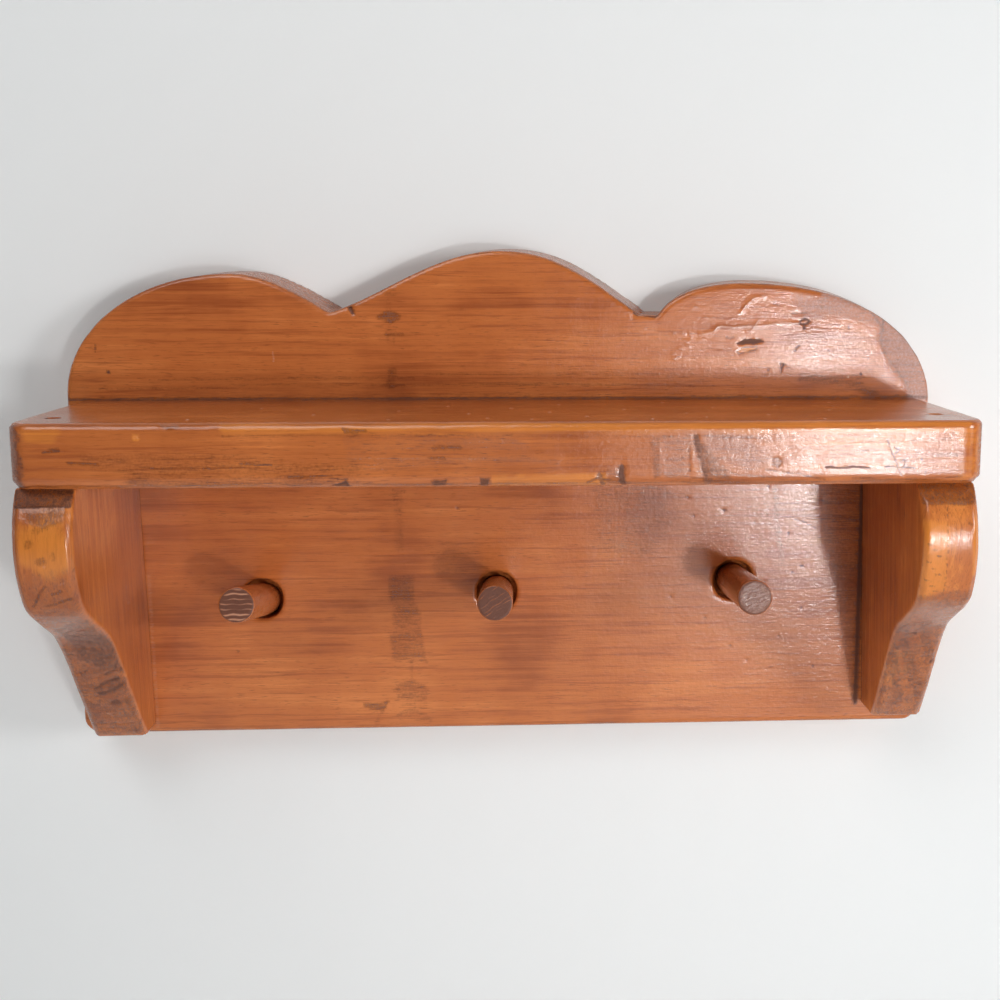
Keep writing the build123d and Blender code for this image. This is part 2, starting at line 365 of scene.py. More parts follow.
def reach_of(mark, places):
    """How far each place lies from a mark's edge."""
    measure = distance_to_patch if mark["patch"] else distance_to_line
    return measure(places, mark["points"]) - mark["half"]


def boxed(mark, places, margin):
    """Which places lie in the mark's box, wider by the margin on each side."""
    low = mark["points"].min(0) - mark["half"] - margin
    high = mark["points"].max(0) + mark["half"] + margin
    return np.all((places > low) & (places < high), axis=1)


def cover_of(mark, places):
    """How much of the mark there is at each place, from 0 to 1."""
    near = boxed(mark, places, mark["soft"])
    cover = np.zeros(len(places))
    if near.any():
        cover[near] = 1 - smooth_step(reach_of(mark, places[near]), 0, mark["soft"])
    return cover


# ---------------- dense meshes on the CAD surface

WELD = 1e-6


def even_copy(node, voxel):
    """A copy of a CAD node in faces of the voxel's size in mm, whose corners lie on the CAD surface."""
    welded = bmesh.new()
    welded.from_mesh(NODES[node].data)
    bmesh.ops.remove_doubles(welded, verts=welded.verts, dist=WELD)
    tree = BVHTree.FromBMesh(welded)
    mesh = bpy.data.meshes.new(node)
    welded.to_mesh(mesh)
    welded.free()
    piece = new_object(node + "_wood", mesh)
    remesh = piece.modifiers.new("even", "REMESH")
    remesh.mode = "VOXEL"
    remesh.voxel_size = voxel * MM
    evaluated = piece.evaluated_get(bpy.context.evaluated_depsgraph_get())
    even = bpy.data.meshes.new_from_object(evaluated)
    piece.modifiers.clear()
    piece.data = even
    for vertex in even.vertices:
        vertex.co = tree.find_nearest(vertex.co)[0]
    return piece


def refine(piece, chosen):
    """Halves the edges whose two ends are both chosen by a test of their places in mm."""
    mesh = piece.data
    picked = chosen(places_of(mesh), normals_of(mesh))
    grown = bmesh.new()
    grown.from_mesh(mesh)
    grown.verts.ensure_lookup_table()
    edges = [e for e in grown.edges if picked[e.verts[0].index] and picked[e.verts[1].index]]
    bmesh.ops.subdivide_edges(grown, edges=edges, cuts=1, use_grid_fill=True)
    grown.to_mesh(mesh)
    grown.free()


def vectors_of(rows, name):
    """The vector of that name in each row, such as each point."""
    flat = np.zeros(len(rows) * 3, np.float32)
    rows.foreach_get(name, flat)
    return flat.reshape(-1, 3).astype(float)


def places_of(mesh):
    """Each point's place in mm."""
    return vectors_of(mesh.vertices, "co") / MM


def normals_of(mesh):
    """Each point's direction outwards."""
    return vectors_of(mesh.vertex_normals, "vector")


class Surface:
    """A piece's points, to be moved and painted."""

    def __init__(self, piece):
        self.mesh = piece.data
        self.places = places_of(self.mesh)
        self.start = self.places.copy()
        self.normals = normals_of(self.mesh)
        self.paint = {name: np.zeros(len(self.places)) for name in PAINTS}

    def press(self, depth):
        """Moves every point inwards by its own depth in mm."""
        self.places -= self.normals * depth[:, None]

    def colour(self, name, amount):
        """Paints the amount over what is there."""
        self.paint[name] = np.maximum(self.paint[name], np.clip(amount, 0, 1))

    def mark(self, marks, axes, facing):
        """Presses and paints marks into the points that face one way."""
        flat = self.start[:, axes]
        wander = np.stack([noise(self.start, MARK_WANDER_PERIOD, seed) for seed in (3, 4)], axis=1)
        flat = flat + MARK_WANDER * wander
        faces = smooth_step(self.normals @ np.array(facing, float), *MARKED_FACING)
        for mark in marks:
            cover = cover_of(mark, flat) * faces
            if mark["depth"]:
                self.press(cover * mark["depth"] * MARK_RELIEF)
            for name, amount in mark["paint"].items():
                self.colour(name, cover * amount)

    def store(self):
        """Writes the places and the paint to the mesh."""
        self.mesh.vertices.foreach_set("co", (self.places * MM).astype(np.float32).ravel())
        for name, amount in self.paint.items():
            layer = self.mesh.attributes.new(name, "FLOAT", "POINT")
            layer.data.foreach_set("value", amount.astype(np.float32))
        self.mesh.update()


def near_marks(marks, axes, facing, margin):
    """A test that chooses the points closer than the margin to the fine marks of a face."""
    fine = [mark for mark in marks if mark["soft"] <= FINE_SOFT]

    def chosen(places, normals):
        flat = places[:, axes]
        near = np.zeros(len(places), bool)
        for mark in fine:
            here = boxed(mark, flat, margin)
            if here.any():
                reach = reach_of(mark, flat[here])
                near[here] |= (np.abs(reach) if mark["patch"] else reach) < margin
        return near & (normals @ np.array(facing, float) > FINE_FACING)

    return chosen


# ---------------- the wood of each piece

FRONT = (0, -1, 0)
UP = (0, 0, 1)
XZ = [0, 2]
XY = [0, 1]

SPLIT_NOTCH = [line((-57.9, 36.5), (-56.7, 34), (-56, 31.9), width=0.9, depth=3, dark=1)]

UPPER_CHAIN = [
    line((-43.4, 40.1), (-40.5, 40.1), width=0.6, dark=0.6),
    line((-43.6, 38.3), (-40.2, 38.3), width=0.7, dark=0.7),
    line((-46.9, 36.1), (-38.5, 36.1), width=0.5, dark=0.4),
    line((-42.5, 40.2), (-42.5, 34.1), width=1.2, soft=0.9, grey=0.35),
    patch((-46.2, 30.4), (-42.5, 32.3), (-38.9, 30.2), (-42.2, 29), soft=1.6, grey=0.8),
    line((-45, 30.3), (-38.9, 30.1), width=0.7, dark=0.95),
    line((-38.9, 30.1), (-20, 29.9), width=0.4, dark=0.3),
    line((-48.1, 26.9), (-39, 27.1), width=0.5, dark=0.5),
    line((-43.2, 27), (-40, 27), width=0.6, dark=0.6),
    line((-42.7, 25.2), (-40.8, 25.2), width=0.7, dark=0.5),
    line((-43.8, 24), (-37.5, 24.1), width=0.7, dark=0.8),
    line((-37.5, 24.1), (-29.6, 24.1), width=0.5, dark=0.45),
    spot(-43.1, 22.6, 0.8, dark=0.5),
    spot(-40.9, 22.4, 0.7, dark=0.5),
    line((-43.1, 21), (-40.9, 20.9), width=0.6, dark=0.6),
    line((-41.8, 11.2), (-42.3, 5.1), width=1.6, soft=1.4, dark=0.3, grey=0.4),
    line((-36.4, 7.9), (-33.8, 7.9), width=0.6, dark=0.7),
    line((-44.5, 5.3), (-37.4, 5.2), dark=0.9),
]

LOWER_CHAIN = [
    line((-42.1, -33.7), (-38.1, -34.2), dark=0.9),
    line((-45, -37.6), (-41.3, -37.7), width=0.5, dark=0.5),
    line((-41.3, -37.7), (-39.2, -37.9), dark=0.95),
    line((-41, -33.9), (-41, -37.5), width=2.4, soft=1.2, grey=0.35),
    line((-40.7, -37.9), (-40.2, -40), (-40.1, -41.7), (-39.7, -43.2), (-40.2, -45.2), (-40.1, -47.5),
         (-39.8, -50.5), (-39.6, -53.4), (-39.5, -56), width=0.45, dark=0.85),
    line((-40.4, -38), (-40.3, -56), width=2.2, soft=1.4, grey=0.3),
    line((-39.1, -57.2), (-38.8, -61.6), (-38.8, -66.4), width=0.4, dark=0.4),
    patch((-43.4, -67.8), (-36.4, -67.8), (-36.4, -76.1), (-43.5, -76), soft=2.2, grey=0.55, dark=0.2),
    line((-38.9, -68.4), (-38.7, -72.3), (-38.4, -75.9), width=1.1, dark=0.9),
    line((-38.4, -75.9), (-38.3, -80.3), (-37.6, -83.5), width=0.6, dark=0.9),
    patch((-42.4, -76), (-35.4, -76.1), (-33.4, -83), (-33.4, -88.2), (-42.6, -88.1), soft=1.3, grey=0.5),
    line((-50.7, -87.9), (-43, -87.9), (-36.5, -88.1), width=0.6, dark=0.7),
    line((-42.6, -82.2), (-41, -82.3), dark=0.6),
    patch((-44, -90), (-33, -89.5), (-32, -98.7), (-43, -98.8), soft=1.2, grey=0.55),
    line((-44.3, -90.8), (-42.7, -89.8), (-37.3, -89.3), (-35, -89.7), (-33.1, -90.3), (-32.1, -91.9),
         (-32.7, -92.9), width=0.6, dark=0.85),
    line((-43.9, -92.4), (-32.4, -92.5), width=0.7, dark=0.75),
    line((-32.1, -91.9), (-32, -98.7), width=0.5, dark=0.45),
    line((-36.3, -90), (-36.5, -97), width=0.5, dark=0.6),
    line((-43.9, -98.6), (-42.5, -97.6), (-37, -96.2), (-36.7, -97.5), (-34.4, -99.1), (-31.3, -99.7),
         (-30.8, -100.8), width=0.6, dark=0.85),
    line((-43.6, -98.8), (-40.6, -99.8), width=0.6, dark=0.7),
    line((-36.7, -100.2), (-36.4, -102.3), (-36.8, -104.3), (-36.8, -106.3), width=0.5, dark=0.8),
    spot(-36.6, -101.7, 1.2, dark=0.8),
    spot(-36.8, -104.2, 1.2, dark=0.8),
    patch((-42.5, -110), (-36.5, -107.8), (-31.4, -110.8), (-31.6, -116), (-42, -114.6), soft=1.2, grey=0.55),
    line((-42.7, -110.2), (-41.5, -109.4), (-37.3, -108.3), (-36.1, -107.7), (-34.6, -109), (-32.2, -110),
         (-31.1, -111), width=0.6, dark=0.9),
    line((-42.4, -114.3), (-40.8, -112.9), (-36.9, -111.9), width=0.6, dark=0.7),
    line((-35.4, -113.6), (-33.1, -113.8), (-31.4, -115.3), width=0.6, dark=0.7),
    line((-35.9, -108.3), (-35.9, -119.7), width=0.7, dark=0.6),
    line((-40.5, -117.6), (-38.6, -116.8), (-35.5, -117.6), (-31.6, -118.5), width=0.6, dark=0.6),
    line((-42.1, -121.6), (-41, -120.4), (-38.2, -119.6), (-35.1, -119.9), (-32.4, -121), (-30.9, -122.2),
         (-29.7, -123.4), dark=0.9),
    patch((-41.5, -121.6), (-38.2, -120.2), (-33, -121.2), (-31, -123), grey=0.4),
    patch((-54.8, -117.1), (-51.8, -116.6), (-47.5, -117), (-45.9, -115.4), (-47.9, -119.3), (-51, -118.6),
          soft=0.5, grey=0.8),
    line((-54.8, -117.3), (-51, -118.9), (-47.9, -119.4), (-45.9, -115.4), width=0.6, dark=0.9),
    line((-48.7, -120.7), (-49.8, -123.1), (-50.2, -125.5), width=0.6, dark=0.8),
]

GRAIN_LINES = [
    line((-148, 3.9), (-90, 5.2), (-39, 5.1), width=0.5, soft=1, dark=0.32),
    line((-50, 5.3), (20, 5.4), (78, 4.6), width=0.5, soft=1, dark=0.38),
    line((-130, 7.4), (-60, 8.2), (-36, 7.9), width=0.3, soft=0.7, dark=0.35),
    line((-30, 9.2), (40, 9.8), (70, 9.2), width=0.3, soft=0.7, dark=0.35),
    line((-145, 1.2), (-60, 2), (30, 2.2), (90, 1.8), width=0.5, soft=1, dark=0.25),
    line((60, 8.6), (100, 8.9), (135, 8.2), width=0.4, soft=0.8, dark=0.35),
]

RIGHT_LOBE = [
    line((47.6, 32.3), (55.4, 31), width=0.7, depth=0.6, dark=0.9),
    patch((53, 31.2), (54.6, 33.6), (57.8, 36), (57, 33.4), (55.6, 31.2), soft=0.5, depth=0.9, dark=1),
    # Painted highlights: these raised ridges are also painted pale, as where they catch the light.
    line((72, 23.7), (77.4, 25.1), (78.9, 26.8), (80.4, 27.1), (86.2, 26.9), (103.4, 27.9), (109.6, 28.3),
         width=0.4, depth=-0.3, pale=0.55),
    line((87, 31.7), (89.1, 34.7), (91.3, 36.9), (92.5, 37.5), (97, 37.9), width=0.4, depth=-0.35, pale=0.55),
    line((94.2, 29.4), (92.7, 27.1), (91.2, 25.2), (89.8, 25.1), width=0.4, depth=-0.35, pale=0.55),
    # Painted shadow: a soft dark band low on the right lobe, along the edge of the shelf's shadow.
    line((111, 7.8), (127, 6.6), (134, 4.2), (139.5, 1), width=1.6, soft=2.4, dark=0.5),
    line((100.1, 35.5), (101.8, 35.1), width=0.7, depth=0.2, dark=0.5),
    line((82.2, 23), (83.6, 22.4), (85.1, 22.7), width=0.5, depth=0.2, dark=0.5),
    patch((86.1, 20.7), (88.5, 21.8), (91.6, 22.4), (94.3, 22), (96.6, 21.3), (93.9, 20.7), (88.2, 20.4),
          soft=0.35, depth=0.5, dark=0.95),
    patch((86.3, 17.6), (87.5, 18.8), (94, 19.5), (93.6, 18.6), (90.2, 17.6), (87.1, 17.2), soft=0.4,
          depth=0.2, amber=0.9),
    line((86.3, 17.6), (87.5, 18.9), (94, 19.6), (93.6, 18.6), (90.2, 17.5), (87.1, 17.1), (86.3, 17.6),
         width=0.3, dark=0.6),
    line((75, 19), (84, 18.4), width=0.4, depth=0.1, dark=0.35),
    line((102.9, 12.8), (104, 13.2), (104.2, 12.4), (103.5, 11.9), (103.3, 10), width=0.45, depth=0.3,
         dark=0.8),
    spot(98.2, 10.8, 1.1, depth=0.2, dark=0.7),
    spot(128.3, 26.4, 0.8, depth=0.2, dark=0.7),
    spot(136.2, 15.1, 0.7, dark=0.6),
    spot(133.6, 9.3, 0.9, depth=0.2, dark=0.7),
    spot(120.8, 18, 0.7, dark=0.6),
    line((109.7, 28.3), (110.4, 29.3), (112.3, 29.8), (113.5, 29), (112.5, 27.9), (111.2, 27.6),
         (109.7, 28.3), width=0.5, depth=0.3, dark=0.85),
    line((111.4, 27.7), (111.5, 26), width=0.6, depth=0.25, dark=0.85),
    line((108.4, 17.6), (108.7, 19), (109.7, 19.9), width=0.5, depth=0.2, dark=0.6),
    line((107, 31.7), (112.3, 32.2), width=0.4, depth=0.15, dark=0.5),
    patch((107.7, 38.3), (118.3, 36.8), (117.7, 31.6), (111.7, 32), soft=2, rough=0.9, grey=0.25),
    patch((116.5, 37.6), (119.1, 37), (118, 33.4), dark=0.4, amber=0.4),
    patch((118.7, 38.6), (128.6, 37.1), (140.9, 31.2), (140.2, 27.9), (126.8, 31.3), (119.6, 32.4), soft=2,
          rough=1, grey=0.45),
    patch((140.9, 32), (146.7, 30), (155, 22), (160, 12.5), (161, -1), (153.7, -1), (149.5, 8.4),
          (144.6, 12.6), (142.9, 17.6), (140.4, 22.2), (141.1, 25.3), soft=2.2, rough=1, grey=0.75),
    line((136.6, 32.5), (141, 26.8), (141.8, 26), width=0.5, depth=0.3, dark=0.6),
    line((141.6, 30.6), (141.4, 25.2), width=0.5, depth=0.3, dark=0.8),
    line((140.8, 25.5), (141, 20), (143.5, 15.5), (148, 10), (152, 4), width=0.4, depth=0.2, dark=0.5),
]

# Painted highlights: small dents, raised here, and painted pale as where they catch the light.
DENTS_WITH_PAINTED_HIGHLIGHT = [
    spot(x, z, 1.5, 0.6, soft=0.5, depth=-0.3, pale=0.5)
    for x, z in (
        (70.3, 34.3), (74.6, 30.1), (62.9, 24.6), (66.3, 24.1), (69, 24.1), (69.2, 22.2), (67.1, 21.5),
        (73.6, 22.4), (67.9, 19.9), (58.7, 18.4), (62.6, 16.5), (64.1, 15.8), (65.2, 18.8), (63, 15),
    )
]

LEFT_LOBE = [
    spot(-144.6, 10.4, 0.9, depth=0.2, dark=0.8),
    line((-148.8, 20.2), (-148.9, 17.7), width=0.5, depth=0.15, dark=0.5),
    line((-85, 17.6), (-85.1, 14), width=0.4, depth=0.15, pale=0.5),
    spot(-38, 19.1, 1.4, 0.5, dark=0.3),
]

LOWER_BOARD = [
    line((101.9, -34), (102.6, -44), (103.4, -50.3), (105.2, -62.1), width=1.2, soft=1.4, dark=0.4,
         amber=0.3),
    line((109.8, -46.5), (113.7, -47.3), (117.6, -49.7), width=0.4, depth=0.15, dark=0.45),
    line((-133.6, -66), (-133.4, -82.6), (-133.1, -100.1), (-132.8, -124), soft=0.8, pale=0.35),
    # Painted shade: a dark line on the board along the right bracket's inner face, for the shade in the gap
    # between them.
    line((135.4, -20), (135.2, -119), width=0.9, soft=0.9, dark=1),
    # Painted shadow: a soft dark patch in the corner beside the right bracket, where its shadow falls on the
    # board.
    patch((119, -20), (135, -20), (134, -112), (127, -70), (121, -44), soft=6, dark=0.42),
    # Painted shade: a dark line along the joint just above the shelf, for the shade where the shelf meets the
    # board.
    line((-160, 0.4), (-60, 0.5), (40, 0.4), (160, 0.5), soft=0.6, dark=0.7),
    # Painted shadows of the pegs: a soft dark patch up and to the left of the middle peg, and a broad one to
    # the left of the right peg.
    patch((-28, -56), (-12, -54), (-12, -66), (-26, -65), soft=6, dark=0.22),
    patch((36, -34), (56, -33), (60, -44), (52, -56), (38, -54), soft=12, dark=0.33),
]

BOARD_PITS = [
    spot(x, z, across, depth=0.4, dark=0.6)
    for x, z, across in (
        (68.5, -37.5, 0.8), (82.4, -42.6, 1), (71, -44.5, 0.7), (94.2, -47.2, 0.7),
        (99.5, -33.5, 0.9), (107.6, -51.6, 0.8), (112.8, -64.5, 0.9), (109.1, -66.8, 0.8),
        (98.5, -70.4, 0.6), (113, -80.9, 0.8), (76, -84.2, 0.6), (104.4, -92, 0.7),
        (92.2, -101.6, 0.6), (118.4, -104, 0.7), (62.4, -76, 0.6), (86, -95.5, 0.6),
        (120.2, -38.8, 0.7), (99, -44.2, 0.5), (-18.6, -41, 0.7), (-101.5, -95.2, 0.6),
    )
]

BOARD_MARKS_AND_PAINTED_LIGHT = [
    *SPLIT_NOTCH, *smudged(UPPER_CHAIN, 0.3, 0.6), *smudged(LOWER_CHAIN, 0.5, 0.4), *GRAIN_LINES,
    *RIGHT_LOBE, *DENTS_WITH_PAINTED_HIGHLIGHT, *LEFT_LOBE, *LOWER_BOARD, *BOARD_PITS,
]

SHELF_MARKS = [
    patch((-156, 0), (-152.2, -0.9), (-150.9, -4.4), (-152.2, -8), (-150.4, -10.4), (-149.8, -13.2),
          (-150.4, -16.4), (-149.8, -20), (-151.9, -22), (-156, -22), soft=1.6, grey=1, dark=0.35),
    patch((-147.9, -2.2), (-139.1, -2.3), (-140.6, -4.6), (-147.2, -4.6), soft=4, amber=0.5),
    spot(-114.6, -4.6, 1.6, 1.2, soft=0.9, depth=0.2, amber=1, pale=0.3),
    patch((-131, -10.5), (-84, -10.8), (-70, -12.5), (-100, -14.5), (-128, -13.5), soft=3, dark=0.34),
    patch((-70, -17), (-44, -16.5), (-42, -20.5), (-68, -20.5), soft=3, grey=0.4, dark=0.15),
    patch((-118, -14), (-80, -15), (-46, -13.5), (-46, -19.5), (-118, -20), soft=4, dark=0.34),
    patch((-106.6, -0.8), (-101.1, -1.1), (-103.8, -2.2), soft=0.6, depth=0.3, dark=0.5),
    line((-142.8, -8.9), (-140.1, -8.6), (-138.1, -8.5), width=0.6, depth=0.15, dark=0.7),
    line((-135.6, -12.1), (-126.6, -12.5), width=0.5, depth=0.1, dark=0.6),
    patch((-117.6, -18.3), (-113.7, -16.8), (-107.7, -17.5), (-108.9, -20.6), (-116.9, -20.2), soft=1.6,
          dark=0.4, grey=0.4),
    patch((-87.8, 0.5), (150, 0.5), (150, -2.6), (60, -2.8), (-32.7, -3), (-87.9, -3), soft=2.2, amber=0.7),
    line((-88, -4.1), (-33, -4.1), (20, -4.6), (62, -4.9), (120, -4.9), width=0.4, soft=0.7, dark=0.3),
    line((-50.5, -2), (-43.1, -2.8), width=0.6, depth=0.1, dark=0.6),
    line((-50, -2.9), (-46, -3.1), width=0.5, dark=0.6),
    patch((-49.7, -4.8), (0, -4.9), (10, -10), (-32.9, -13.8), (-47.9, -12.7), soft=3, grey=0.5),
    patch((-47, -13), (5, -12), (28, -14), (0, -16.5), (-40, -16.5), soft=2, grey=0.3),
    line((-82.7, -12.9), (-73.1, -13.3), width=0.5, depth=0.1, dark=0.6),
    line((-67.6, -17.1), (-54.4, -16.8), width=0.6, depth=0.1, dark=0.6),
    patch((-55, -20.8), (-52.4, -19.9), (-50, -18.4), (-48.8, -20.9), soft=0.5, depth=0.6, dark=0.95),
    line((-22, -8.1), (-14, -8.1), width=1, soft=0.8, dark=0.5),
    line((-24, -11), (-19, -11.2), width=0.6, dark=0.5),
    patch((-23, -19.2), (-18.4, -18.5), (-19, -20.6), (-22, -21), soft=0.6, depth=0.4, dark=0.85),
    patch((-7.5, -18.2), (-5, -18.4), (-5.2, -21), (-7.8, -20.6), soft=0.5, depth=0.5, dark=0.9),
    patch((-4, -17.5), (32, -17.2), (32, -20.4), (-4, -20.6), amber=0.7),
    patch((32.3, -20.9), (33.4, -17.5), (36.2, -15.8), (37.4, -16.5), (38.8, -21), soft=1.2, depth=0.3,
          dark=0.4),
    line((30.2, -17), (31.4, -20.6), width=0.9, soft=0.7, depth=0.4, dark=0.7),
    line((37.4, -14.6), (37, -17.5), (38.2, -21), width=1.1, soft=0.6, depth=0.5, dark=0.9),
    line((26.5, -19.4), (29.4, -18.2), (33.8, -18.6), width=0.4, soft=0.5, dark=0.7),
    patch((30, -15), (39, -14.6), (37, -17), (31, -20), soft=1.4, dark=0.25),
    patch((47.2, -7), (48.6, -6), (49.6, -16), (48.6, -18), soft=2, dark=0.45),
    patch((51.3, -6.5), (59.5, -6.2), (57.5, -12), (58.3, -17.2), (52, -16.8), soft=2.4, depth=0.2, grey=0.6,
          rough=0.1),
    line((51.5, -12.2), (55.8, -12.6), (57, -11.4), width=0.3, soft=0.5, dark=0.5),
    line((59.2, -6.6), (58, -10), (57.6, -16.5), width=0.4, soft=0.7, pale=0.4),
    line((61, -5), (61.8, -9), (63, -13), (65, -20), width=0.7, soft=1.5, depth=0.25, dark=0.75),
    line((59.9, -7.2), (60.4, -12), (61.8, -17.5), width=0.4, soft=0.7, pale=0.4),
    line((59, -9), (59.2, -16), width=0.3, soft=0.7, depth=0.1, dark=0.45),
    line((52, -18.4), (62, -18.8), (66, -20.2), width=1.2, soft=1.6, dark=0.4, grey=0.3),
    patch((62.5, -8), (66, -11), (72, -18.5), (66.5, -19.5), (64, -14), soft=2.6, dark=0.55),
    patch((65.5, -6), (77, -7), (84, -12), (78, -13.8), (71, -11.5), soft=4, grey=0.6, rough=0.25),
    line((66, -4.6), (76, -5.6), (88, -6.4), width=0.6, soft=1.8, dark=0.25, grey=0.2),
    patch((85.9, -12.2), (87.8, -11.9), (88.9, -13.4), (87.6, -14.8), (85.8, -14.3), soft=0.5, depth=0.35,
          grey=0.7, dark=0.4),
    line((84, -15.8), (95, -17.2), (103, -19.2), width=0.4, soft=0.5, depth=0.15, dark=0.5),
    line((62, -16), (80, -17.6), (97, -19.8), width=0.4, soft=0.5, depth=0.1, dark=0.4),
    line((90, -8.6), (104, -9.6), (119, -9.3), width=0.3, soft=0.5, depth=0.1, dark=0.3),
    line((92, -11.2), (110, -12.4), (136, -12), width=0.3, soft=0.5, depth=0.1, dark=0.25),
    line((100, -6), (120, -6.8), (144, -6.2), width=0.3, soft=0.5, depth=0.1, dark=0.3),
    line((112, -18.6), (130, -19.2), (148, -18.4), width=0.4, soft=0.6, depth=0.1, dark=0.35),
    line((103.3, -15.2), (110, -15.1), (117.6, -15.3), width=0.35, depth=0.15, dark=0.75),
    line((123.2, -6.2), (124.4, -9.3), (125.6, -12.2), (127.9, -17.7), width=0.3, depth=0.1, dark=0.6),
    line((125.6, -8.4), (126.9, -9.6), (125.9, -10.6), width=0.3, depth=0.1, dark=0.6),
    line((127.4, -13.2), (129.3, -12.6), (128.6, -15), width=0.3, depth=0.1, dark=0.6),
    line((122.8, -15), (132.4, -15.3), width=0.3, depth=0.1, dark=0.6),
    spot(133.1, -10.3, 1.4, 0.5, dark=0.6),
    spot(134.6, -12.4, 0.6, 1.2, dark=0.6),
    spot(136, -16.7, 0.8, 1.2, dark=0.6),
    line((139.5, -11.2), (146, -11), width=0.5, soft=0.8, dark=0.45),
    patch((147, -3), (156, -3), (156, -19), (148, -18), (151, -11), soft=4, amber=0.5),
]

DUST = [
    spot(x, y, 0.9, 1.6, depth=-0.7, pale=1)
    for x, y in (
        (-37.3, -87.6), (-36, -60), (-20, -45), (-12, -70), (-5.5, -85), (2, -52), (9, -88), (15, -66),
        (19, -40), (27, -80), (41, -57), (48, -88), (57, -33), (61, -71), (66, -84), (73, -51), (88, -76),
        (96, -45), (104, -89), (112, -62), (118, -34), (-63, -72), (-84, -50), (-101, -86),
    )
]

NAIL_STAINS = [
    line((-147.8, -78.7), (-143.8, -78.9), width=1, soft=0.6, dark=0.8),
    line((143.2, -78), (147.6, -79.2), width=0.9, soft=0.5, dark=0.8),
]

LEFT_BRACKET_MARKS_AND_SHADE = [
    # Painted shade: the dark band across the bracket's top chamfer, just under the shelf.
    patch((-155, -21), (-134, -21), (-134, -26), (-155, -26), soft=0.8, dark=0.75, grey=0.5),
    line((-155, -26.3), (-134, -26.3), width=0.4, soft=0.5, dark=0.9),
    patch((-150, -26), (-138, -26), (-138, -30), (-144, -32.5), (-149, -29.5), soft=2, dark=0.5),
    patch((-149.5, -34), (-140, -32), (-138, -45), (-143, -47), (-149, -42), soft=5, amber=0.9),
    patch((-155, -27), (-152.3, -27), (-152, -46), (-155, -50), soft=2, grey=0.4),
    spot(-148.3, -37.6, 1.6, 2.2, soft=1.2, dark=0.5),
    spot(-146.2, -33.6, 2, 1.2, soft=1.2, dark=0.35),
    spot(-144.8, -43.2, 2.6, 1.6, soft=1.4, dark=0.5),
    spot(-141, -41.6, 1.2, 2.4, soft=1, dark=0.35),
    spot(-143.9, -44.7, 0.7, depth=0.2, pale=0.4),
    patch((-152, -49), (-136, -46.5), (-135, -64), (-150, -64), soft=3, grey=0.5),
    line((-144.9, -51.5), (-146.8, -54.2), (-149.6, -58.7), width=0.5, soft=0.5, depth=0.25, dark=0.6),
    line((-143, -54.5), (-139.7, -53.4), width=0.6, depth=0.2, dark=0.55),
    line((-141.5, -57.4), (-137.6, -55.9), width=0.7, depth=0.2, dark=0.6),
    line((-146, -58.9), (-142.6, -58), width=0.6, depth=0.2, dark=0.5),
    line((-147, -61.9), (-143.7, -61), width=0.6, depth=0.2, dark=0.5),
    line((-140.2, -50.9), (-138.4, -50.2), width=0.5, depth=0.15, pale=0.3),
    patch((-152, -64), (-135, -64), (-135, -70), (-150, -70), soft=1.5, grey=0.75),
    patch((-149, -71), (-135, -66), (-133, -92), (-140, -90), (-146, -86), soft=2.5, dark=0.62, grey=0.7),
    patch((-145.4, -98.6), (-141, -96.4), (-136, -94.2), (-135.2, -98), (-140, -101.5), (-144.8, -102.6),
          soft=2.6, depth=0.3, dark=0.55),
    line((-145.2, -99.4), (-141, -97), (-136.4, -95.4), soft=0.9, depth=0.4, dark=0.8),
    line((-144.4, -102.2), (-140.2, -100.6), (-136, -98.2), width=0.9, soft=0.9, depth=0.4, dark=0.8),
    line((-140.6, -93.4), (-137.2, -91.6), width=0.7, soft=0.8, depth=0.3, dark=0.7),
    spot(-139.8, -106.4, 2.6, 2.2, soft=1.6, depth=0.4, dark=0.8),
    patch((-136.5, -104.6), (-133.4, -103.4), (-133.4, -108), (-136, -108), soft=1.8, depth=0.3, dark=0.6),
    spot(-147.1, -85.4, 1.8, 1.4, soft=1.2, dark=0.5),
    spot(-140.6, -90.6, 1.6, 1.2, soft=1, dark=0.55),
    line((-144.2, -111.4), (-142.6, -112.8), width=0.5, depth=0.25, pale=0.5),
    line((-142.4, -115.8), (-141.2, -116.8), width=0.5, depth=0.25, pale=0.4),
    line((-136.9, -92.7), (-135.7, -93.1), width=0.5, depth=0.2, pale=0.35),
    patch((-139, -113), (-133, -111), (-132, -121), (-140, -121), soft=2, dark=0.4),
]

